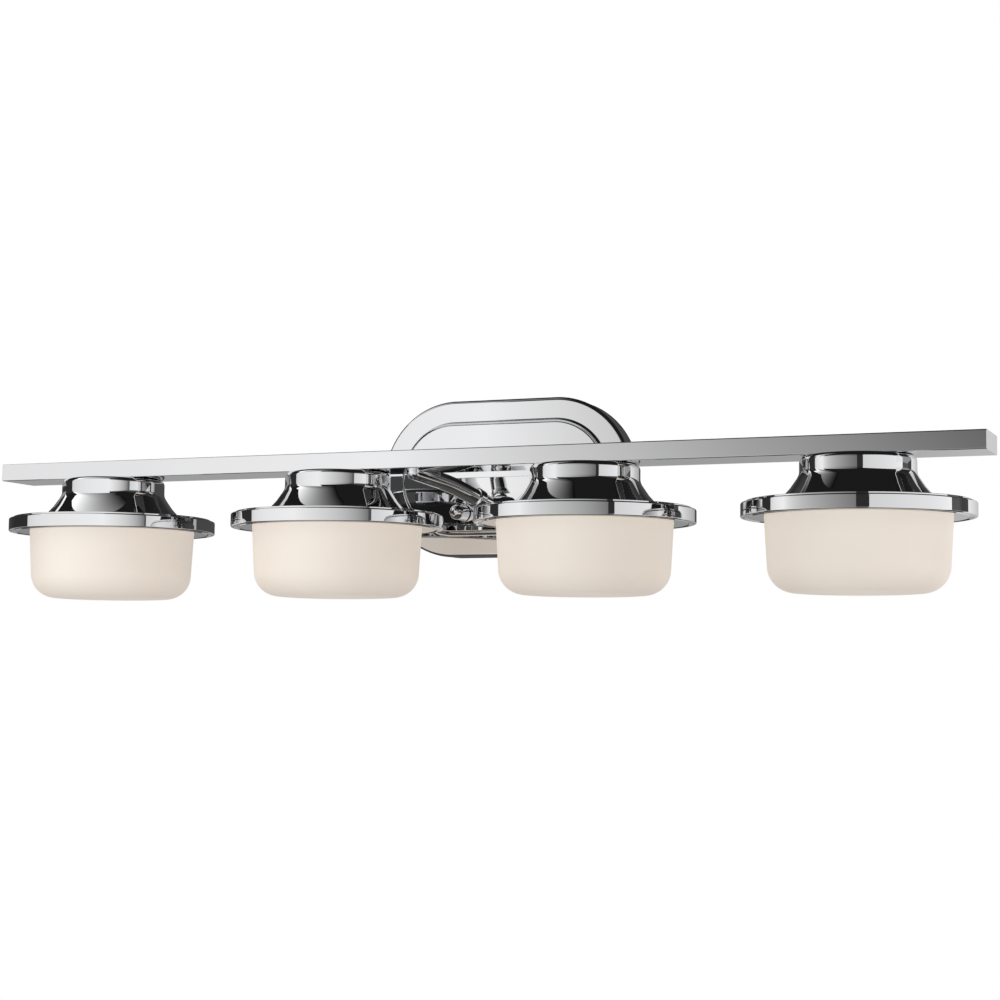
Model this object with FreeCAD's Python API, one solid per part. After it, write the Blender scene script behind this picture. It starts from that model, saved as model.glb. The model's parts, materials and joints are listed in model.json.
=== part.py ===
import FreeCAD, Part
import math
import os

from FreeCAD import Vector

# Vanity light bar, in millimetres.
# +X runs along the bar, +Y points into the wall and +Z is up.
# The origin is the centre of the back plate, in the plane of the wall.

# Bar
BAR_LENGTH = 814.0
BAR_DEPTH = 45.0
BAR_HEIGHT = 14.0
BAR_WALL = 1.5
BAR_EDGE = 0.9
BAR_CAP = 2.0
CAP_EDGE = 0.5
CAP_PLUG = 6.0         # depth of an end cap's plug inside the tube
CAP_GAP = 0.2
BAR_OUT = 115.0        # wall to the bar's centre line
BAR_Z = -2.5           # underside of the bar
WIRE_HOLE = (-36.0, 103.0)   # X of the hole for the arm's wires, and its distance from the wall

# Lights, hung under the bar; heights below are measured down from the bar's underside
LIGHTS = 4
SPACING = 208.0
DRUM_R = 41.8
DRUM_EDGE = 4.0
DRUM_H = 12.5
FLARE_MID = (46.6, 20.3)
FLARE_R = 57.0
BRIM_Z = 32.2
BRIM_R = 80.2
SHEET = 1.5
SKIRT_Z = 42.0
SKIRT_WALL = 1.5
LEDGE_R = 70.0
LEDGE_Z = 36.4

RING_R = 83.9
RING_TOP = 33.6
RING_BOTTOM = 44.3
RING_FLANGE = 2.0
RING_MOUTH_R = 67.0
RING_EDGE = 1.2
RING_GAP = 0.3
GROOVE_IN_R = 77.6     # a shallow groove turned in the underside of the band
GROOVE_OUT_R = 81.6
GROOVE_DEPTH = 0.9

GLASS_R = 65.0
GLASS_WALL = 3.5
GLASS_BOTTOM = 98.0
GLASS_CORNER = 19.4
LIP_R = 77.0
LIP_H = 3.5
GASKET_R = 66.0

SOCKET_HALF = (10.5, 8.0)
SOCKET_TOP = 12.0
SOCKET_BOTTOM = 34.0
SOCKET_EDGE = 2.0
RECESS_HALF = (7.5, 3.5)
RECESS_DEPTH = 5.0
PIN_HOLE_TOP = 19.0
BRACKET_SHEET = 1.5
BRACKET_HALF = 8.0     # half of the saddle's width, front to back
LEG_HALF = 6.0
LEG_BOTTOM = 24.0
PIN_OUT = 4.5
PIN_R = 0.9
PIN_HOLE_R = 1.6
PIN_LENGTH = 8.0
BULB_FOOT_HALF = (6.2, 2.5)
BULB_FOOT_TOP = 30.0
BULB_FOOT_BOTTOM = 43.0
BULB_R = 6.5
BULB_TOP = 40.0
BULB_TIP = 70.5

NIPPLE_R = 4.8
NIPPLE_BORE = 3.4
NIPPLE_TOP = 7.0
NIPPLE_BOTTOM = 10.0
NUT_ACROSS = 14.0
NUT_HEIGHT = 4.0

# Back plate
PLATE_R = 64.5         # half of its height, and the radius of its round ends
PLATE_SIDE = 44.0      # half of its straight length
PLATE_DEPTH = 22.0
PANEL_STEP = 6.0
BORDER = 19.0
PLATE_WALL = 1.5
PLATE_EDGE = 3.0
PANEL_EDGE = 2.2
FOOT_Z = -29.0         # height of the arm's foot and of the cap nuts
NUT_OUT = 35.0         # cap nuts each side of the centre

# Arm: it leaves the plate at its centre and reaches the bar left of its centre
ARM_R = 6.75
ARM_BORE = 4.75
ARM_END_X = -39.0
ARM_END_OUT = 111.0
ARM_KNEE = 0.60        # place of the bend along the arm
ARM_RISE_KNEE = 18.0
ARM_RISE_END = 25.0
ARM_BEND_R = 110.0
ARM_RUN_IN = 12.0      # length of tube behind the face of the back plate
FLARE_LENGTH = 24.0
FLARE_FOOT_R = 14.0
FLARE_BACK = 8.0
FLARE_BACK_R = 15.5
FLARE_MID_LENGTH = 8.6
FLARE_MID_R = 8.6
FLARE_SINK = 0.1       # how far the trumpet's thin end sinks into the tube
COLLAR_R = 8.4
COLLAR_LENGTH = 7.5
COLLAR_EDGE = 1.4
COLLAR_START = 22.5
STUB_R = 4.7
STUB_LENGTH = 8.0

# Mounting plate and its hardware
MOUNT_PLATE = (108.0, 2.0, 58.0)
MOUNT_PLATE_Z = -14.0
MOUNT_PLATE_CORNER = 5.0
WIRE_WINDOW = (14.0, -37.0, -14.0)   # half width, lowest and highest Z
BOX_SLOT_X = 44.45
BOX_SLOT_R = 2.75
BOX_SLOT_LENGTH = 14.0
STUD_R = 2.1
STUD_OUT = 6.5         # length of a stud in front of the raised panel
STUD_HOLE_R = 2.5
STUD_GAP = 0.05
STUD_NUT_ACROSS = 8.0
STUD_NUT_HEIGHT = 3.2
CAP_NUT_R = 6.0
CAP_NUT_LENGTH = 9.0
CAP_NUT_BORE = 8.0
CAP_FLANGE_R = 7.5
CAP_FLANGE_HEIGHT = 1.2
SCREW_PLACE = (20.0, 6.0)    # X and Z of the earth screw
SCREW_R = 4.0
SCREW_HEIGHT = 3.0
SCREW_SLOT_HALF = 0.6
SCREW_SLOT_DEPTH = 1.2

CLEAR = 1.0            # how far a cutting tool runs past the face that it cuts
SAME = 0.01            # tolerance for picking edges

PANEL_Y = -(PLATE_DEPTH + PANEL_STEP)
UP = Vector(0, 0, 1)
OUT = Vector(0, -1, 0)
INTO = Vector(0, 1, 0)


def box(low, high):
    """A box between two corners."""
    size = [b - a for a, b in zip(low, high)]
    return Part.makeBox(*size, Vector(*low))


def rod(radius, start, direction, length):
    """A cylinder from a point along a direction."""
    return Part.makeCylinder(radius, length, Vector(*start), direction)


def hex_nut(across, bore, start, direction, height):
    """A hexagonal nut with a plain bore."""
    corner = across / math.sqrt(3)
    points = [Vector(corner * math.cos(math.radians(60 * k)), corner * math.sin(math.radians(60 * k)), 0)
              for k in range(7)]
    nut = Part.Face(Part.makePolygon(points)).extrude(Vector(0, 0, height))
    nut = nut.cut(Part.makeCylinder(bore, height))
    nut.Placement = FreeCAD.Placement(Vector(*start), FreeCAD.Rotation(UP, direction))
    return nut


def line(a, b):
    """An edge in the XZ plane between (radius, height) points."""
    return Part.LineSegment(Vector(a[0], 0, a[1]), Vector(b[0], 0, b[1])).toShape()


def arc(a, through, b):
    """An arc in the XZ plane through three (radius, height) points."""
    return Part.Arc(*[Vector(p[0], 0, p[1]) for p in (a, through, b)]).toShape()


def corner_arc(centre, radius, start_deg, end_deg):
    """An arc about a centre in the XZ plane, between two angles."""
    spots = []
    for deg in (start_deg, (start_deg + end_deg) / 2, end_deg):
        turn = math.radians(deg)
        spots.append((centre[0] + radius * math.cos(turn), centre[1] + radius * math.sin(turn)))
    return arc(*spots)


def turned(edges):
    """A solid of revolution about Z from a closed outline of edges."""
    wire = Part.Wire(Part.__sortEdges__(edges))
    return Part.Face(wire).revolve(Vector(0, 0, 0), UP, 360)


def light_x(index):
    """The X of a light, counted from the left."""
    return (index - (LIGHTS - 1) / 2) * SPACING


def hung(shape, index):
    """A piece drawn about the origin, moved under the bar to its light."""
    moved = shape.copy()
    moved.translate(Vector(light_x(index), -BAR_OUT, BAR_Z))
    return moved


def save(name, shape):
    """One STEP file for each node, after checking that the solids are sound."""
    solids = shape.Solids
    if not solids or not all(s.isValid() and s.Volume > 0 for s in solids):
        raise ValueError("bad solid: " + name)
    shape.exportStep("parts/" + name + ".step")
    print(name, len(solids), round(shape.Volume, 1))


# ---- Bar ----

def bar_blank():
    """The bar's outer block, with its long edges eased."""
    half = BAR_LENGTH / 2 - BAR_CAP
    block = box((-half, -BAR_OUT - BAR_DEPTH / 2, BAR_Z),
                (half, -BAR_OUT + BAR_DEPTH / 2, BAR_Z + BAR_HEIGHT))
    long_edges = [e for e in block.Edges if abs(e.Length - 2 * half) < SAME]
    return block.makeFillet(BAR_EDGE, long_edges)


def make_bar():
    """A rectangular tube with a hole for each light and one for the arm's wires."""
    half = BAR_LENGTH / 2 - BAR_CAP
    low = (-half, -BAR_OUT - BAR_DEPTH / 2 + BAR_WALL, BAR_Z + BAR_WALL)
    high = (half, -BAR_OUT + BAR_DEPTH / 2 - BAR_WALL, BAR_Z + BAR_HEIGHT - BAR_WALL)
    bar = bar_blank().cut(box(low, high))
    for index in range(LIGHTS):
        spot = (light_x(index), -BAR_OUT, BAR_Z - CLEAR)
        bar = bar.cut(rod(NIPPLE_R, spot, UP, BAR_WALL + 2 * CLEAR))
    spot = (WIRE_HOLE[0], -WIRE_HOLE[1], BAR_Z - CLEAR)
    return bar.cut(rod(ARM_BORE, spot, UP, BAR_WALL + 2 * CLEAR))


def make_bar_cap(side):
    """An end cap: a plate flush with the bar, and a plug inside the tube."""
    inner = side * (BAR_LENGTH / 2 - BAR_CAP)
    outer = side * BAR_LENGTH / 2
    plate = box((min(inner, outer), -BAR_OUT - BAR_DEPTH / 2, BAR_Z),
                (max(inner, outer), -BAR_OUT + BAR_DEPTH / 2, BAR_Z + BAR_HEIGHT))
    corners = [e for e in plate.Edges if abs(e.Length - BAR_CAP) < SAME]
    plate = plate.makeFillet(BAR_EDGE, corners)
    rim = [e for e in plate.Edges if all(abs(v.X - outer) < SAME for v in e.Vertexes)]
    plate = plate.makeFillet(CAP_EDGE, rim)
    deep = inner - side * CAP_PLUG
    gap = BAR_WALL + CAP_GAP
    plug = box((min(inner, deep), -BAR_OUT - BAR_DEPTH / 2 + gap, BAR_Z + gap),
               (max(inner, deep), -BAR_OUT + BAR_DEPTH / 2 - gap, BAR_Z + BAR_HEIGHT - gap))
    return plate.fuse(plug)


# ---- Lights ----

def make_bell():
    """A spun crown: a drum that flares out into a flat brim."""
    drum = DRUM_R - DRUM_EDGE
    foot = (FLARE_R, -BRIM_Z)
    inner_foot = (FLARE_R - SHEET, -BRIM_Z - SHEET)
    inner_r = DRUM_R - SHEET
    edges = [
        line((NIPPLE_R, 0), (drum, 0)),
        corner_arc((drum, -DRUM_EDGE), DRUM_EDGE, 0, 90),
        line((DRUM_R, -DRUM_EDGE), (DRUM_R, -DRUM_H)),
        arc((DRUM_R, -DRUM_H), (FLARE_MID[0], -FLARE_MID[1]), foot),
        line(foot, (BRIM_R, -BRIM_Z)),
        line((BRIM_R, -BRIM_Z), (BRIM_R, -BRIM_Z - SHEET)),
        line((BRIM_R, -BRIM_Z - SHEET), inner_foot),
        arc(inner_foot, (FLARE_MID[0] - SHEET, -FLARE_MID[1] - SHEET / 2), (inner_r, -DRUM_H)),
        line((inner_r, -DRUM_H), (inner_r, -DRUM_EDGE)),
        corner_arc((drum, -DRUM_EDGE), DRUM_EDGE - SHEET, 0, 90),
        line((drum, -SHEET), (NIPPLE_R, -SHEET)),
        line((NIPPLE_R, -SHEET), (NIPPLE_R, 0)),
    ]
    return turned(edges)


def make_skirt():
    """The threaded ring under the brim: a wall for the band and a ledge for the gasket."""
    top = -BRIM_Z - SHEET
    inner = BRIM_R - SKIRT_WALL
    corners = [(LEDGE_R, top), (BRIM_R, top), (BRIM_R, -SKIRT_Z), (inner, -SKIRT_Z), (inner, -LEDGE_Z),
               (LEDGE_R, -LEDGE_Z)]
    return turned([line(a, b) for a, b in zip(corners, corners[1:] + corners[:1])])


def make_ring():
    """The polished band, with an inward flange that carries the glass and a groove under it."""
    inner = BRIM_R + RING_GAP
    low = -RING_BOTTOM
    floor = low + RING_FLANGE
    edges = [
        line((inner, -RING_TOP), (RING_R - RING_EDGE, -RING_TOP)),
        corner_arc((RING_R - RING_EDGE, -RING_TOP - RING_EDGE), RING_EDGE, 90, 0),
        line((RING_R, -RING_TOP - RING_EDGE), (RING_R, low + RING_EDGE)),
        corner_arc((RING_R - RING_EDGE, low + RING_EDGE), RING_EDGE, 0, -90),
        line((RING_R - RING_EDGE, low), (GROOVE_OUT_R, low)),
        arc((GROOVE_OUT_R, low), ((GROOVE_OUT_R + GROOVE_IN_R) / 2, low + GROOVE_DEPTH), (GROOVE_IN_R, low)),
        line((GROOVE_IN_R, low), (RING_MOUTH_R, low)),
        line((RING_MOUTH_R, low), (RING_MOUTH_R, floor)),
        line((RING_MOUTH_R, floor), (inner, floor)),
        line((inner, floor), (inner, -RING_TOP)),
    ]
    return turned(edges)


def make_glass():
    """A short straight cup with a big bottom corner, a flat bottom and an outward lip."""
    top = -RING_BOTTOM + RING_FLANGE + LIP_H
    under_lip = top - LIP_H
    bottom = -GLASS_BOTTOM
    knee = bottom + GLASS_CORNER
    out_c = (GLASS_R - GLASS_CORNER, knee)
    inside = GLASS_R - GLASS_WALL
    floor = bottom + GLASS_WALL
    edges = [
        line((inside, top), (LIP_R, top)),
        line((LIP_R, top), (LIP_R, under_lip)),
        line((LIP_R, under_lip), (GLASS_R, under_lip)),
        line((GLASS_R, under_lip), (GLASS_R, knee)),
        corner_arc(out_c, GLASS_CORNER, 0, -90),
        line((out_c[0], bottom), (0, bottom)),
        line((0, bottom), (0, floor)),
        line((0, floor), (out_c[0], floor)),
        corner_arc(out_c, GLASS_CORNER - GLASS_WALL, -90, 0),
        line((inside, knee), (inside, top)),
    ]
    return turned(edges)


def make_gasket():
    """A soft washer between the glass's lip and the bell's ledge."""
    low = -RING_BOTTOM + RING_FLANGE + LIP_H
    height = -LEDGE_Z - low
    return rod(LIP_R, (0, 0, low), UP, height).cut(rod(GASKET_R, (0, 0, low), UP, height))


def make_socket():
    """A ceramic lamp holder: a block with a recess and two pin holes."""
    wide, deep = SOCKET_HALF
    block = box((-wide, -deep, -SOCKET_BOTTOM), (wide, deep, -SOCKET_TOP))
    uprights = [e for e in block.Edges if abs(e.Length - (SOCKET_BOTTOM - SOCKET_TOP)) < SAME]
    block = block.makeFillet(SOCKET_EDGE, uprights)
    half_x, half_y = RECESS_HALF
    roof = -SOCKET_BOTTOM + RECESS_DEPTH
    block = block.cut(box((-half_x, -half_y, -SOCKET_BOTTOM - CLEAR), (half_x, half_y, roof)))
    for side in (-1, 1):
        start = (side * PIN_OUT, 0, roof - CLEAR)
        block = block.cut(rod(PIN_HOLE_R, start, UP, -PIN_HOLE_TOP - roof + CLEAR))
    return block


def make_socket_bracket():
    """A steel saddle: a plate under the bell's top and two legs beside the lamp holder."""
    wide = SOCKET_HALF[0]
    outer = wide + BRACKET_SHEET
    under = -SHEET - BRACKET_SHEET
    plate = box((-outer, -BRACKET_HALF, under), (outer, BRACKET_HALF, -SHEET))
    bracket = plate.cut(rod(NIPPLE_R, (0, 0, under - CLEAR), UP, BRACKET_SHEET + 2 * CLEAR))
    for side in (-1, 1):
        near, far = sorted((side * wide, side * outer))
        bracket = bracket.fuse(box((near, -LEG_HALF, -LEG_BOTTOM), (far, LEG_HALF, under)))
    return bracket.removeSplitter()


def make_bulb():
    """A two-pin capsule lamp: pins, pinched foot and a round-ended capsule."""
    dome = -BULB_TIP + BULB_R
    half_x, half_y = BULB_FOOT_HALF
    foot = box((-half_x, -half_y, -BULB_FOOT_BOTTOM), (half_x, half_y, -BULB_FOOT_TOP))
    capsule = rod(BULB_R, (0, 0, dome), UP, -BULB_TOP - dome)
    bulb = foot.fuse(capsule).fuse(Part.makeSphere(BULB_R, Vector(0, 0, dome)))
    for side in (-1, 1):
        start = (side * PIN_OUT, 0, -BULB_FOOT_TOP - CLEAR)
        bulb = bulb.fuse(rod(PIN_R, start, UP, PIN_LENGTH + CLEAR))
    return bulb.removeSplitter()


def make_nipples():
    """Hollow threaded tubes that clamp bar, bell and bracket together."""
    foot = (0, 0, -NIPPLE_BOTTOM)
    length = NIPPLE_TOP + NIPPLE_BOTTOM
    tube = rod(NIPPLE_R, foot, UP, length).cut(rod(NIPPLE_BORE, foot, UP, length))
    return Part.makeCompound([hung(tube, index) for index in range(LIGHTS)])


def make_light_nuts(low):
    """One nut for each nipple, with its lower face at a height from the bar's underside."""
    nut = hex_nut(NUT_ACROSS, NIPPLE_R, (0, 0, low), UP, NUT_HEIGHT)
    return Part.makeCompound([hung(nut, index) for index in range(LIGHTS)])


# ---- Back plate ----

def stadium(radius, side, y_back, y_front):
    """A solid with straight sides and round ends, between two distances from the wall."""
    top = [Vector(-side, y_back, radius), Vector(side, y_back, radius)]
    low = [Vector(side, y_back, -radius), Vector(-side, y_back, -radius)]
    edges = [
        Part.LineSegment(*top).toShape(),
        Part.Arc(top[1], Vector(side + radius, y_back, 0), low[0]).toShape(),
        Part.LineSegment(*low).toShape(),
        Part.Arc(low[1], Vector(-side - radius, y_back, 0), top[0]).toShape(),
    ]
    return Part.Face(Part.Wire(edges)).extrude(Vector(0, y_front - y_back, 0))


def edges_at(shape, y, radius):
    """The edges of a shape in a plane of constant Y that follow an oblong of this radius."""
    return [e for e in shape.Edges if all(abs(v.Y - y) < SAME for v in e.Vertexes)
            and abs(max(abs(v.Z) for v in e.Vertexes) - radius) < SAME]


def make_canopy():
    """A pressed pan with a raised panel, hollow behind."""
    panel_r = PLATE_R - BORDER
    outside = stadium(PLATE_R, PLATE_SIDE, 0, -PLATE_DEPTH)
    outside = outside.makeFillet(PLATE_EDGE, edges_at(outside, -PLATE_DEPTH, PLATE_R))
    outside = outside.fuse(stadium(panel_r, PLATE_SIDE, -PLATE_DEPTH + CLEAR, PANEL_Y)).removeSplitter()
    outside = outside.makeFillet(PANEL_EDGE, edges_at(outside, PANEL_Y, panel_r))
    outside = outside.makeFillet(PANEL_EDGE, edges_at(outside, -PLATE_DEPTH, panel_r))
    hollow = stadium(PLATE_R - PLATE_WALL, PLATE_SIDE, CLEAR, -PLATE_DEPTH + PLATE_WALL)
    recess = stadium(panel_r - PLATE_WALL, PLATE_SIDE, CLEAR, PANEL_Y + PLATE_WALL)
    pan = outside.cut(hollow).cut(recess)
    through = PLATE_WALL + 2 * CLEAR
    pan = pan.cut(rod(NIPPLE_R, (0, PANEL_Y - CLEAR, FOOT_Z), INTO, through))
    for side in (-1, 1):
        pan = pan.cut(rod(STUD_HOLE_R, (side * NUT_OUT, PANEL_Y - CLEAR, FOOT_Z), INTO, through))
    return pan


# ---- Arm ----

def arm_heading():
    """The arm's horizontal direction, away from the wall, and its horizontal length."""
    reach = Vector(ARM_END_X, -ARM_END_OUT - PANEL_Y, 0)
    return Vector(reach).normalize(), reach.Length


def arm_points():
    """The arm's foot, knee and end on its centre line."""
    heading, length = arm_heading()
    foot = Vector(0, PANEL_Y, FOOT_Z + 1)
    knee = foot + heading * (length * ARM_KNEE) + UP * ARM_RISE_KNEE
    end = foot + heading * length + UP * ARM_RISE_END
    return foot, knee, end


def arm_path(run_in):
    """Two straight runs joined by one tangent arc; run_in lengthens the path behind the foot."""
    foot, knee, end = arm_points()
    first = (knee - foot).normalize()
    second = (end - knee).normalize()
    turn = first.getAngle(second)
    reach = ARM_BEND_R * math.tan(turn / 2)
    bend_in = knee - first * reach
    bend_out = knee + second * reach
    inward = (second - first).normalize()
    centre = knee + inward * (ARM_BEND_R / math.cos(turn / 2))
    middle = centre - inward * ARM_BEND_R
    start = foot - first * run_in
    return Part.Wire([
        Part.LineSegment(start, bend_in).toShape(),
        Part.Arc(bend_in, middle, bend_out).toShape(),
        Part.LineSegment(bend_out, end).toShape(),
    ]), start, first


def tube_along(radius, run_in):
    """A round bar swept along the arm's centre line."""
    wire, start, first = arm_path(run_in)
    circle = Part.Wire(Part.makeCircle(radius, start, first))
    return wire.makePipeShell([circle], True, False)


def make_arm():
    """The arm: a tube with a trumpet foot, coped to fit the bar's lower rear edge."""
    foot, _, end = arm_points()
    arm = tube_along(ARM_R, ARM_RUN_IN).fuse(Part.makeSphere(ARM_R, end))
    arm = arm.fuse(make_flare(foot, arm_path(0)[2]))
    arm = arm.cut(tube_along(ARM_BORE, ARM_RUN_IN + 2 * CLEAR))
    behind = box((-PLATE_R, PANEL_Y, -PLATE_R), (PLATE_R, 0, PLATE_R))
    bar_space = box((2 * ARM_END_X, -BAR_OUT - BAR_DEPTH / 2, BAR_Z),
                    (-ARM_END_X, -BAR_OUT + BAR_DEPTH / 2, BAR_Z + BAR_HEIGHT))
    return arm.cut(behind).cut(bar_space)


def make_flare(foot, direction):
    """A trumpet about the arm's first run, widest behind the face of the back plate."""
    thin = (ARM_R - FLARE_SINK, FLARE_LENGTH)
    profile = [
        line((0, -FLARE_BACK), (FLARE_BACK_R, -FLARE_BACK)),
        line((FLARE_BACK_R, -FLARE_BACK), (FLARE_FOOT_R, 0)),
        arc((FLARE_FOOT_R, 0), (FLARE_MID_R, FLARE_MID_LENGTH), thin),
        line(thin, (0, FLARE_LENGTH)),
        line((0, FLARE_LENGTH), (0, -FLARE_BACK)),
    ]
    flare = turned(profile)
    flare.Placement = FreeCAD.Placement(foot, FreeCAD.Rotation(UP, direction))
    return flare


def make_arm_collar():
    """A rounded bead round the arm in front of the trumpet foot."""
    direction = arm_path(0)[2]
    start = arm_points()[0] + direction * COLLAR_START
    bead = Part.makeCylinder(COLLAR_R, COLLAR_LENGTH, start, direction)
    bead = bead.makeFillet(COLLAR_EDGE, [e for e in bead.Edges if e.Closed])
    return bead.cut(Part.makeCylinder(ARM_R, COLLAR_LENGTH, start, direction))


def make_arm_stub():
    """The threaded stub that holds the arm to the back plate."""
    start = (0, PANEL_Y + STUB_LENGTH, FOOT_Z)
    return rod(STUB_R, start, OUT, STUB_LENGTH - SAME).cut(rod(NIPPLE_BORE, start, OUT, STUB_LENGTH))


# ---- Mounting plate and hardware ----

def make_mounting_plate():
    """A steel plate with slots for the wall box's screws, a wire window and two stud holes."""
    wide, thick, tall = MOUNT_PLATE
    low_z = MOUNT_PLATE_Z - tall / 2
    plate = box((-wide / 2, -thick, low_z), (wide / 2, 0, low_z + tall))
    corners = [e for e in plate.Edges if abs(e.Length - thick) < SAME]
    plate = plate.makeFillet(MOUNT_PLATE_CORNER, corners)
    for side in (-1, 1):
        slot = stadium(BOX_SLOT_R, BOX_SLOT_LENGTH / 2 - BOX_SLOT_R, CLEAR, -thick - CLEAR)
        slot.translate(Vector(side * BOX_SLOT_X, 0, 0))
        plate = plate.cut(slot)
        plate = plate.cut(rod(STUD_R, (side * NUT_OUT, CLEAR, FOOT_Z), OUT, thick + 2 * CLEAR))
    half, low, high = WIRE_WINDOW
    return plate.cut(box((-half, -thick - CLEAR, low), (half, CLEAR, high)))


def make_studs():
    """Two threaded studs that reach through the back plate."""
    length = -PANEL_Y + STUD_OUT
    return Part.makeCompound([rod(STUD_R, (side * NUT_OUT, 0, FOOT_Z), OUT, length) for side in (-1, 1)])


def make_stud_nuts():
    """The nuts that lock the studs to the mounting plate."""
    starts = [(side * NUT_OUT, -MOUNT_PLATE[1], FOOT_Z) for side in (-1, 1)]
    nuts = [hex_nut(STUD_NUT_ACROSS, STUD_R, start, OUT, STUD_NUT_HEIGHT) for start in starts]
    return Part.makeCompound(nuts)


def make_cap_nut(side):
    """A domed nut with a small flange, seated on the raised panel."""
    start = (side * NUT_OUT, PANEL_Y, FOOT_Z)
    tip = Vector(side * NUT_OUT, PANEL_Y - CAP_NUT_LENGTH, FOOT_Z)
    nut = rod(CAP_NUT_R, start, OUT, CAP_NUT_LENGTH).fuse(Part.makeSphere(CAP_NUT_R, tip))
    nut = nut.fuse(rod(CAP_FLANGE_R, start, OUT, CAP_FLANGE_HEIGHT))
    return nut.removeSplitter().cut(rod(STUD_R + STUD_GAP, start, OUT, CAP_NUT_BORE))


def make_ground_screw():
    """The slotted head of the earth screw, on the mounting plate."""
    x, z = SCREW_PLACE
    back = -MOUNT_PLATE[1]
    head = rod(SCREW_R, (x, back, z), OUT, SCREW_HEIGHT)
    front = back - SCREW_HEIGHT
    slot = box((x - SCREW_R - CLEAR, front - CLEAR, z - SCREW_SLOT_HALF),
               (x + SCREW_R + CLEAR, front + SCREW_SLOT_DEPTH, z + SCREW_SLOT_HALF))
    return head.cut(slot)


def make_arm_nut():
    """The nut behind the back plate that clamps the arm's stub."""
    return hex_nut(NUT_ACROSS, STUB_R, (0, PANEL_Y + PLATE_WALL, FOOT_Z), INTO, NUT_HEIGHT)


def main():
    os.makedirs("parts", exist_ok=True)
    pieces = {
        "bar": make_bar(), "bar_cap_left": make_bar_cap(-1), "bar_cap_right": make_bar_cap(1),
        "arm": make_arm(), "arm_collar": make_arm_collar(), "arm_stub": make_arm_stub(),
        "arm_nut": make_arm_nut(), "canopy": make_canopy(), "mounting_plate": make_mounting_plate(),
        "studs": make_studs(), "stud_nuts": make_stud_nuts(), "ground_screw": make_ground_screw(),
        "cap_nut_left": make_cap_nut(-1), "cap_nut_right": make_cap_nut(1), "nipples": make_nipples(),
        "nuts_upper": make_light_nuts(BAR_WALL),
        "nuts_lower": make_light_nuts(-SHEET - BRACKET_SHEET - NUT_HEIGHT),
    }
    per_light = {
        "bell": make_bell(), "skirt": make_skirt(), "ring": make_ring(), "shade": make_glass(),
        "gasket": make_gasket(), "socket": make_socket(), "socket_bracket": make_socket_bracket(),
        "bulb": make_bulb(),
    }
    for name, shape in pieces.items():
        save(name, shape)
    for name, shape in per_light.items():
        for index in range(LIGHTS):
            save(f"{name}_{index + 1}", hung(shape, index))


main()
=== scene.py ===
import json
import math

import bpy
from mathutils import Matrix, Vector


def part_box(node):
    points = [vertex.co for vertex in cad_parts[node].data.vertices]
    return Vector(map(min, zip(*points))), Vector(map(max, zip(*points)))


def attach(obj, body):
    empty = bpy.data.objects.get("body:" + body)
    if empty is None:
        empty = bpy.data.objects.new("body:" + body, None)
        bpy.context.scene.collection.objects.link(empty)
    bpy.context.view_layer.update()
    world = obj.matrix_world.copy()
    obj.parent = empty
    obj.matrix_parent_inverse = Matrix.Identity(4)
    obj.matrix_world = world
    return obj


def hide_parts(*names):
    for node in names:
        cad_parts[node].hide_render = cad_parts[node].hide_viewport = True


# Looks for a vanity light bar: four opal glass cups under chromed bells on a flat bar.
# Metres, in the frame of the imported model: +X along the bar, +Y into the wall, +Z up.

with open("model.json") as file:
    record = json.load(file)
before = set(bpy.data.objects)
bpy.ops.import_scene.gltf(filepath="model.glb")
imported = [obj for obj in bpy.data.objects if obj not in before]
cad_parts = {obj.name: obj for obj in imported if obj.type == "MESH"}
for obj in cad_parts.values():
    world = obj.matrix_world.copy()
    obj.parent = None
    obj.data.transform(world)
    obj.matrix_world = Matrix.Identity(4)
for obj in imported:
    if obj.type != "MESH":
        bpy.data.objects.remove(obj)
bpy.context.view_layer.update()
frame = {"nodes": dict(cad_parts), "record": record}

MM = 0.001
SIDES = 160            # faces round a turned piece
ARC_STEP = 9.0         # degrees between the points of a rounded corner
ARC_LEAST = 2          # steps in the smallest rounded corner
MERGE_WITHIN = 1e-6    # points nearer than this become one
CREASE = 35            # degrees between two faces, past which their edge stays sharp

# Turned pieces: corners as (radius, height below the bar's underside, corner radius), in millimetres
BELL_CORNERS = [
    (4.8, 0.0, 0.3), (41.8, 0.0, 4.0), (41.8, 13.0, 8.0), (48.0, 23.6, 60.0), (57.0, 32.2, 1.2),
    (80.2, 32.2, 0.4), (80.2, 33.7, 0.4), (56.3, 33.7, 1.0), (46.9, 24.7, 60.0), (40.3, 13.4, 8.0),
    (40.3, 1.5, 2.5), (4.8, 1.5, 0.3),
]
RING_CORNERS = [
    (80.5, 33.6, 0.2), (83.9, 33.6, 1.2), (83.9, 44.3, 1.2), (81.6, 44.3, 0.4), (80.8, 43.4, 0.6),
    (78.4, 43.4, 0.6), (77.6, 44.3, 0.4), (67.0, 44.3, 0.6), (67.0, 42.3, 0.3), (80.5, 42.3, 0.3),
]
GLASS_CORNERS = [
    (0.3, 94.5, 0.0), (61.5, 94.5, 15.9), (61.5, 38.8, 0.8), (77.0, 38.8, 0.8), (77.0, 42.3, 0.8),
    (65.0, 42.3, 1.0), (65.0, 98.0, 19.4), (0.3, 98.0, 0.0),
]

# Back plate: corners as (distance from the long middle line, distance from the wall, corner radius)
PLATE_CORNERS = [
    (0.3, 26.5, 0.0), (44.0, 26.5, 1.0), (44.0, 20.5, 0.7), (63.0, 20.5, 1.5), (63.0, 0.0, 0.2),
    (64.5, 0.0, 0.3), (64.5, 22.0, 3.0), (45.5, 22.0, 2.0), (45.5, 28.0, 2.4), (0.3, 28.0, 0.0),
]
PLATE_SIDE = 44.0 * MM  # from the plate's middle to the middle of each round end

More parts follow.
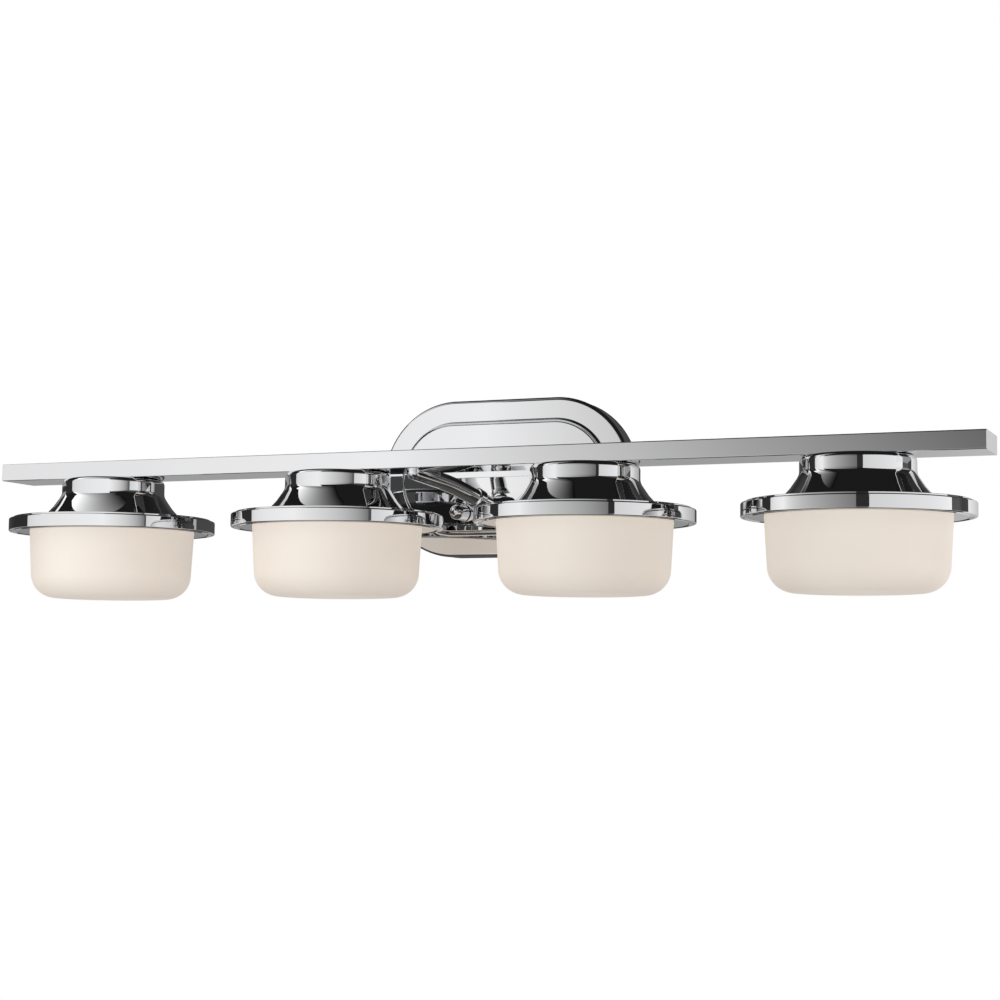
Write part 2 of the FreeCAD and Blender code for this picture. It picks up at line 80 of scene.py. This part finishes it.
# The painted glow of each lamp, drawn into the emission colour of its opal glass
GLOW_HEIGHT = 36 * MM   # of the lamp's middle above the underside of its glass
GLOW_REACH = 56 * MM    # from the lamp to where its glow has faded
GLOW_FADE = 0.6         # share of the glow that is lost above and below the lamp
GLOW_CLOUD = 0.5        # how far clouds in the glass lift or lower the glow


# ---- Modelling helpers ----

def select_none():
    """Object mode, with nothing selected."""
    if bpy.context.mode != "OBJECT":
        bpy.ops.object.mode_set(mode="OBJECT")
    bpy.ops.object.select_all(action="DESELECT")


def select_only(piece):
    """One piece selected and active."""
    select_none()
    piece.select_set(True)
    bpy.context.view_layer.objects.active = piece


def name_new(name):
    """Names the object that was just added."""
    piece = bpy.context.object
    piece.name = name
    piece.data.name = name
    return piece


def settle(piece):
    """Moves a piece's place and turn into its mesh."""
    select_only(piece)
    bpy.ops.object.transform_apply(location=True, rotation=True, scale=True)


def round_corners(corners, closed):
    """An outline's points, with each corner drawn as an arc of its own radius."""
    spots = [Vector((r * MM, -z * MM)) for r, z, _ in corners]
    points = []
    last = len(spots) - 1
    for i, spot in enumerate(spots):
        radius = corners[i][2] * MM
        if radius == 0 or (not closed and i in (0, last)):
            points.append(spot)
            continue
        before = (spots[i - 1] - spot).normalized()
        after = (spots[(i + 1) % len(spots)] - spot).normalized()
        inside = before.angle(after)
        turn = math.pi - inside
        middle = (before + after).normalized()
        centre = spot + middle * (radius / math.sin(inside / 2))
        start = spot + before * (radius / math.tan(inside / 2)) - centre
        steps = max(ARC_LEAST, round(math.degrees(turn) / ARC_STEP))
        way = 1 if start.cross(after) > 0 else -1
        for k in range(steps + 1):
            points.append(centre + Matrix.Rotation(way * turn * k / steps, 2) @ start)
    return points


def turn_outline(name, corners, closed):
    """A turned piece about +Z: one ring of edges, carried along the outline by extrude and resize."""
    points = round_corners(corners, closed)
    if closed:
        points.append(points[0])
    select_none()
    bpy.ops.mesh.primitive_circle_add(vertices=SIDES, radius=points[0].x, location=(0, 0, points[0].y))
    piece = name_new(name)
    piece.rotation_euler.z = math.pi / SIDES
    settle(piece)
    bpy.ops.object.mode_set(mode="EDIT")
    bpy.ops.mesh.select_all(action="SELECT")
    for here, there in zip(points, points[1:]):
        bpy.ops.mesh.extrude_edges_move(TRANSFORM_OT_translate={"value": (0, 0, there.y - here.y)})
        grow = there.x / here.x
        bpy.ops.transform.resize(value=(grow, grow, 1), center_override=(0, 0, there.y))
    close_up()
    return piece


def close_up():
    """Merges doubled points, fills open ends and turns the faces outwards, then leaves edit mode."""
    bpy.ops.mesh.select_all(action="SELECT")
    bpy.ops.mesh.remove_doubles(threshold=MERGE_WITHIN)
    bpy.ops.mesh.fill_holes(sides=0)
    bpy.ops.mesh.select_all(action="SELECT")
    bpy.ops.mesh.normals_make_consistent(inside=False)
    bpy.ops.object.mode_set(mode="OBJECT")


def pick_points(piece, wanted):
    """Edit mode, with only the wanted points selected."""
    select_only(piece)
    bpy.ops.object.mode_set(mode="EDIT")
    bpy.ops.mesh.select_all(action="DESELECT")
    bpy.ops.object.mode_set(mode="OBJECT")
    for vertex in piece.data.vertices:
        vertex.select = wanted(vertex.co)
    bpy.ops.object.mode_set(mode="EDIT")


def polish(piece):
    """Smooth shading that keeps flat faces flat."""
    select_only(piece)
    bpy.ops.object.shade_smooth_by_angle(angle=math.radians(CREASE))
    even = piece.modifiers.new("even_normals", "WEIGHTED_NORMAL")
    even.keep_sharp = True
    bpy.ops.object.modifier_apply(modifier=even.name)


def hang_copy(pattern, name, node):
    """A copy of a turned piece, hung under the bar at the axis of the CAD node that it replaces."""
    low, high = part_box(node)
    select_only(pattern)
    bpy.ops.object.duplicate()
    piece = name_new(name)
    piece.location = ((low.x + high.x) / 2, (low.y + high.y) / 2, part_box("bar")[0].z)
    settle(piece)
    return piece


# ---- Shader helpers ----

# Sockets of a Mix node, which have no names of their own
NUMBER_A, NUMBER_B = 2, 3
COLOUR_A, COLOUR_B, COLOUR_RESULT = 6, 7, 2


class Value:
    """A socket in a node tree, so that shader maths reads as an expression."""

    def __init__(self, nodes, socket):
        self.nodes = nodes
        self.socket = socket

    def math(self, operation, first, second=0.0):
        return self.nodes.add("ShaderNodeMath", {"operation": operation}, {0: first, 1: second})

    def __add__(self, other):
        return self.math("ADD", self, other)

    def __radd__(self, other):
        return self.math("ADD", other, self)

    def __sub__(self, other):
        return self.math("SUBTRACT", self, other)

    def __rsub__(self, other):
        return self.math("SUBTRACT", other, self)

    def __mul__(self, other):
        return self.math("MULTIPLY", self, other)

    def __rmul__(self, other):
        return self.math("MULTIPLY", other, self)

    def __truediv__(self, other):
        return self.math("DIVIDE", self, other)

    def __rtruediv__(self, other):
        return self.math("DIVIDE", other, self)

    def __pow__(self, other):
        return self.math("POWER", self, other)

    def __rpow__(self, other):
        return self.math("POWER", other, self)

    def __abs__(self):
        return self.math("ABSOLUTE", self)

    def fraction(self):
        """What is left over a whole number."""
        return self.math("FRACT", self)


class Nodes:
    """The nodes of a material or of the world, under construction."""

    def __init__(self, tree):
        self.tree = tree

    def add(self, kind, settings, inputs, output=0):
        """Adds a node, sets it, fills or links its sockets and returns one of its outputs."""
        made = self.tree.nodes.new(kind)
        for key, value in settings.items():
            setattr(made, key, value)
        for key, value in inputs.items():
            if isinstance(value, Value):
                self.tree.links.new(value.socket, made.inputs[key])
            else:
                made.inputs[key].default_value = value
        return Value(self, made.outputs[output])

    def place(self, kind="Object"):
        """The point on the piece, in metres, or another kind of place."""
        return self.add("ShaderNodeTexCoord", {}, {}, kind)

    def split(self, point):
        """A point's three coordinates."""
        first = self.add("ShaderNodeSeparateXYZ", {}, {0: point})
        return [Value(self, socket) for socket in first.socket.node.outputs]

    def seen(self):
        """1 for what the camera sees straight, 0 for light and reflections."""
        return self.add("ShaderNodeLightPath", {}, {}, "Is Camera Ray")

    def noise(self, scale, detail=2.0):
        """Soft noise between 0 and 1."""
        return self.add("ShaderNodeTexNoise", {},
                        {"Vector": self.place(), "Scale": scale, "Detail": detail}, "Fac")

    def ramp(self, value, low, high, start=0.0, end=1.0):
        """A value carried smoothly from start at low to end at high."""
        return self.add("ShaderNodeMapRange", {"interpolation_type": "SMOOTHSTEP"},
                        {"Value": value, "From Min": low, "From Max": high,
                         "To Min": start, "To Max": end})

    def between(self, share, first, second):
        """A number between two numbers."""
        return self.add("ShaderNodeMix", {"data_type": "FLOAT"},
                        {"Factor": share, NUMBER_A: first, NUMBER_B: second})

    def blend(self, share, first, second):
        """A colour between two colours."""
        return self.add("ShaderNodeMix", {"data_type": "RGBA"},
                        {"Factor": share, COLOUR_A: (*first, 1), COLOUR_B: (*second, 1)},
                        COLOUR_RESULT)

    def bump(self, height, distance, strength):
        """A surface normal from a height."""
        return self.add("ShaderNodeBump", {},
                        {"Height": height, "Distance": distance, "Strength": strength}, "Normal")


class Finish(Nodes):
    """A material under construction, with the constant values of its shader."""

    def __init__(self, name, **constants):
        self.material = bpy.data.materials.new(name)
        self.material.use_nodes = True
        super().__init__(self.material.node_tree)
        self.shader = self.tree.nodes["Principled BSDF"]
        for socket, value in constants.items():
            self.shader.inputs[socket.replace("_", " ")].default_value = value

    def set(self, **links):
        """Links values to the shader's sockets and returns the material."""
        for socket, value in links.items():
            self.tree.links.new(value.socket, self.shader.inputs[socket.replace("_", " ")])
        return self.material

    def show(self, surface):
        """Shows another surface than the shader alone and returns the material."""
        self.tree.links.new(surface.socket, self.tree.nodes["Material Output"].inputs["Surface"])
        return self.material


# ---- Finishes ----

def chrome():
    """Mirror plating with faint wiping marks."""
    f = Finish("mirror_chrome", Metallic=1.0)
    cloud = f.noise(scale=9.0, detail=3.0)
    haze = f.ramp(f.noise(scale=55.0, detail=4.0), low=0.45, high=0.8)
    ripple = f.noise(scale=35.0, detail=1.0)
    return f.set(Base_Color=f.blend(cloud, (0.80, 0.805, 0.82), (0.87, 0.87, 0.875)),
                 Roughness=0.025 + haze * 0.03,
                 Normal=f.bump(ripple, distance=0.02 * MM, strength=0.3))


def opal():
    """Matte opal glass with a painted glow of its lamp, brightest in front of the lamp and behind it."""
    f = Finish("opal_glass", Emission_Strength=0.60, Subsurface_Weight=0.15, Subsurface_Scale=0.004,
               Specular_IOR_Level=0.35)
    low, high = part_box("shade_1")
    first = (low.x + high.x) / 2
    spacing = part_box("shade_2")[0].x - low.x
    x, _, z = f.split(f.place())
    # Painted glow: beside is the distance from the nearest lamp's axis, above is the height from the
    # lamp's middle, and the emission colour is brightest where both are small, lifted or lowered by
    # clouds in the glass
    beside = abs(((x - first) / spacing + 0.5).fraction() - 0.5) * spacing
    above = abs(z - (low.z + GLOW_HEIGHT))
    glow = ((1 - f.ramp(beside, 0.0, GLOW_REACH))
            * (1 - f.ramp(above, 0.0, GLOW_REACH) * GLOW_FADE))
    grain = f.noise(scale=900.0)
    cloud = f.noise(scale=22.0)
    painted_glow_and_cloud = glow + (cloud - 0.5) * GLOW_CLOUD
    return f.set(Base_Color=f.blend(cloud, (0.48, 0.435, 0.39), (0.52, 0.475, 0.43)),
                 Emission_Color=f.blend(painted_glow_and_cloud, (0.87, 0.77, 0.675), (0.97, 0.89, 0.79)),
                 Roughness=0.42 + cloud * 0.12,
                 Normal=f.bump(grain, distance=0.03 * MM, strength=0.4))


def steel():
    """Zinc-plated steel, brushed by handling."""
    f = Finish("zinc_steel", Metallic=1.0)
    patch = f.noise(scale=60.0, detail=4.0)
    grain = f.noise(scale=600.0, detail=3.0)
    return f.set(Base_Color=f.blend(patch, (0.50, 0.50, 0.49), (0.66, 0.66, 0.63)),
                 Roughness=0.28 + patch * 0.22,
                 Normal=f.bump(grain, distance=0.05 * MM, strength=0.4))


def brass():
    """Plain brass, a little dulled."""
    f = Finish("plain_brass", Metallic=1.0)
    patch = f.noise(scale=120.0, detail=4.0)
    return f.set(Base_Color=f.blend(patch, (0.62, 0.44, 0.18), (0.80, 0.62, 0.30)),
                 Roughness=0.22 + patch * 0.25)


def silicone():
    """Soft pale rubber."""
    f = Finish("pale_silicone", Subsurface_Weight=0.1, Subsurface_Scale=0.002)
    patch = f.noise(scale=80.0, detail=3.0)
    grain = f.noise(scale=700.0)
    return f.set(Base_Color=f.blend(patch, (0.74, 0.74, 0.71), (0.84, 0.84, 0.81)),
                 Roughness=0.55 + patch * 0.15,
                 Normal=f.bump(grain, distance=0.05 * MM, strength=0.5))


def porcelain():
    """Glazed off-white ceramic with small dark specks."""
    f = Finish("lamp_holder_porcelain", Coat_Weight=0.4, Coat_Roughness=0.12)
    speck = f.ramp(f.noise(scale=420.0), low=0.62, high=0.75)
    return f.set(Base_Color=f.blend(speck, (0.84, 0.82, 0.77), (0.68, 0.65, 0.59)),
                 Roughness=0.3 + f.noise(scale=50.0) * 0.15)


def lamp_glass():
    """Frosted lamp glass, lit from inside."""
    f = Finish("frosted_lamp_glass", Transmission_Weight=0.5, IOR=1.46, Emission_Strength=0.6)
    frost = f.noise(scale=500.0, detail=3.0)
    return f.set(Base_Color=f.blend(frost, (0.88, 0.86, 0.82), (0.96, 0.95, 0.92)),
                 Emission_Color=f.blend(frost, (1.0, 0.88, 0.72), (1.0, 0.93, 0.82)),
                 Roughness=0.3 + frost * 0.2)


def make_finishes():
    """The materials, by the record's slots."""
    return {"chrome": chrome(), "opal": opal(), "steel": steel(), "brass": brass(),
            "silicone": silicone(), "porcelain": porcelain(), "lamp_glass": lamp_glass()}


def dress_frame(finishes):
    """Each CAD node takes its slot's finish."""
    for part in frame["record"]["subparts"]:
        node = frame["nodes"][part["node"]]
        node.material_slots[0].material = finishes[part["material_slot"]]


def fit(piece, body, slot, finishes, *replaced):
    """A finished piece rides on its body and stands for its CAD nodes."""
    piece.data.materials.clear()
    piece.data.materials.append(finishes[slot])
    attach(piece, body)
    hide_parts(*replaced)


# ---- Pieces ----

# CAD node, new piece, slot, corners, whether the outline is closed, and body
LIGHT_PIECES = [
    ("bell", "crown", "chrome", BELL_CORNERS, True, "fixture"),
    ("ring", "band", "chrome", RING_CORNERS, True, "band_{}"),
    ("shade", "opal_cup", "opal", GLASS_CORNERS, False, "glass_{}"),
]


def make_lights(finishes):
    """The bell, band and glass of each light."""
    count = sum(1 for name in frame["nodes"] if name.startswith("shade_"))
    for node, label, slot, corners, closed, body in LIGHT_PIECES:
        pattern = turn_outline(label, corners, closed)
        polish(pattern)
        for n in range(1, count + 1):
            piece = hang_copy(pattern, f"{label}_{n}", f"{node}_{n}")
            fit(piece, body.format(n), slot, finishes, f"{node}_{n}")
        bpy.data.objects.remove(pattern)


def make_back_plate(finishes):
    """The oblong pan: turned round, parted at the middle, and stood up against the wall."""
    plate = turn_outline("back_plate", [(r, -z, c) for r, z, c in PLATE_CORNERS], False)
    for side in (-1, 1):
        pick_points(plate, lambda co: co.x * side > 0)
        bpy.ops.transform.translate(value=(side * PLATE_SIDE, 0, 0))
        bpy.ops.object.mode_set(mode="OBJECT")
    plate.rotation_euler = (math.radians(90), 0, 0)
    settle(plate)
    polish(plate)
    fit(plate, "fixture", "chrome", finishes, "canopy")


# ---- Studio ----

# Cards that light the chrome: left and right are the brightness at those two ends
CARDS = [
    {"name": "left_card", "middle": (-0.69, -0.42, -0.01), "size": (1.02, 0.68),
     "left": 0.75, "right": 1.0},
    {"name": "front_card", "middle": (0.095, -0.42, -0.09), "size": (0.55, 0.54),
     "left": 1.0, "right": 0.26, "dimming": 0.7},
    {"name": "right_card", "middle": (0.615, -0.20, -0.10), "size": (0.57, 0.48), "turn": 50,
     "left": 0.75, "right": 1.05},
    {"name": "upper_card", "middle": (-0.60, -0.42, 0.565), "size": (1.20, 0.47),
     "left": 1.6, "right": 0.004, "fall": 1.38},
    {"name": "top_card", "middle": (-0.60, -0.27, 0.80), "size": (1.20, 0.30), "tilt": 0,
     "left": 1.6, "right": 0.004, "fall": 1.38},
    {"name": "back_card", "middle": (0.52, 0.42, -0.12), "size": (0.60, 0.50),
     "left": 0.42, "right": 0.95},
]
DIMMED = (0.45, 1.0)      # heights on a card between which its top right corner grows dim

FLOOR_Z = -1.3
FLOOR_SIZE = 7.0

# The room: brightness by the way looked, and the parts of that way between which it changes
ROOM_LEFT, ROOM_RIGHT, RIGHT_EDGE = 0.03, 0.09, (0.75, 0.85)
ROOM_BEHIND, BEHIND_EDGE = 0.04, (0.2, 0.9)       # added to the other two
ROOM_HIGH, HIGH_EDGE = 0.4, (0.30, 0.55)          # share that is left up high
ROOM_LOW, LOW_EDGE = 0.36, (-0.10, -0.02)
ROOM_SEEN = 1.0

WHITE = (1, 1, 1, 1)


def make_card(name, middle, size, left, right, tilt=90, turn=0, fall=1.0, dimming=0.0):
    """A glowing card, seen only by reflection, that fades from one end to the other."""
    select_none()
    bpy.ops.mesh.primitive_plane_add(size=1, location=middle)
    card = name_new(name)
    card.dimensions = (*size, 0)
    card.rotation_euler = (math.radians(tilt), 0, math.radians(turn))
    card.visible_camera = False
    f = Finish(name)
    across, up, _ = f.split(f.place("UV"))
    top_right = across * f.ramp(up, *DIMMED)
    strength = (right + (1 - across) ** fall * (left - right)) * (1 - top_right * dimming)
    glow = f.add("ShaderNodeEmission", {}, {"Color": WHITE, "Strength": strength})
    card.data.materials.append(f.show(glow))


def make_floor():
    """A plain pale floor, well below the light, which looks pale in the dark room."""
    select_none()
    bpy.ops.mesh.primitive_plane_add(size=FLOOR_SIZE, location=(0, 0, FLOOR_Z))
    floor = name_new("floor")
    f = Finish("pale_floor", Roughness=0.7)
    pale = f.blend(f.noise(scale=3.0), (0.82, 0.82, 0.81), (0.85, 0.85, 0.84))
    f.set(Base_Color=pale)
    matte = Value(f, f.shader.outputs["BSDF"])
    lit = f.add("ShaderNodeEmission", {}, {"Color": pale})
    floor.data.materials.append(f.show(f.add("ShaderNodeMixShader", {}, {0: f.seen(), 1: matte, 2: lit})))


def make_world():
    """A dark room, lighter below, behind and to the far right, which the camera sees as white."""
    world = bpy.data.worlds.new("studio")
    bpy.context.scene.world = world
    world.use_nodes = True
    room = Nodes(world.node_tree)
    right, back, height = room.split(room.place("Generated"))
    wall = (room.ramp(right, *RIGHT_EDGE, ROOM_LEFT, ROOM_RIGHT)
            + room.ramp(back, *BEHIND_EDGE, 0.0, ROOM_BEHIND))
    side = wall * room.ramp(height, *HIGH_EDGE, 1.0, ROOM_HIGH)
    low = room.ramp(height, *LOW_EDGE, 1.0, 0.0)
    strength = room.between(room.seen(), room.between(low, side, ROOM_LOW), ROOM_SEEN)
    background = room.tree.nodes["Background"]
    background.inputs["Color"].default_value = WHITE
    room.tree.links.new(strength.socket, background.inputs["Strength"])


# ---- Camera ----

CAMERA_PLACE = (0.63774, -1.58496, -0.16505)
CAMERA_YAW = 22.3      # degrees, as are the next two
CAMERA_PITCH = 4.96
CAMERA_ROLL = 0.54
CAMERA_LENS = 74.89    # millimetres
CAMERA_SENSOR = 36


def make_camera():
    """A long lens, a little below the bar and to its right."""
    data = bpy.data.cameras.new("camera")
    data.sensor_width = CAMERA_SENSOR
    data.lens = CAMERA_LENS
    camera = bpy.data.objects.new("camera", data)
    bpy.context.scene.collection.objects.link(camera)
    turn = (Matrix.Rotation(math.radians(CAMERA_YAW), 4, "Z")
            @ Matrix.Rotation(math.radians(90 + CAMERA_PITCH), 4, "X")
            @ Matrix.Rotation(math.radians(CAMERA_ROLL), 4, "Z"))
    camera.matrix_world = Matrix.Translation(CAMERA_PLACE) @ turn
    bpy.context.scene.camera = camera


def main():
    """The whole light in its studio."""
    bpy.context.scene.view_settings.view_transform = "Standard"
    finishes = make_finishes()
    dress_frame(finishes)
    make_lights(finishes)
    make_back_plate(finishes)
    make_world()
    make_floor()
    for card in CARDS:
        make_card(**card)
    make_camera()
    select_none()


main()
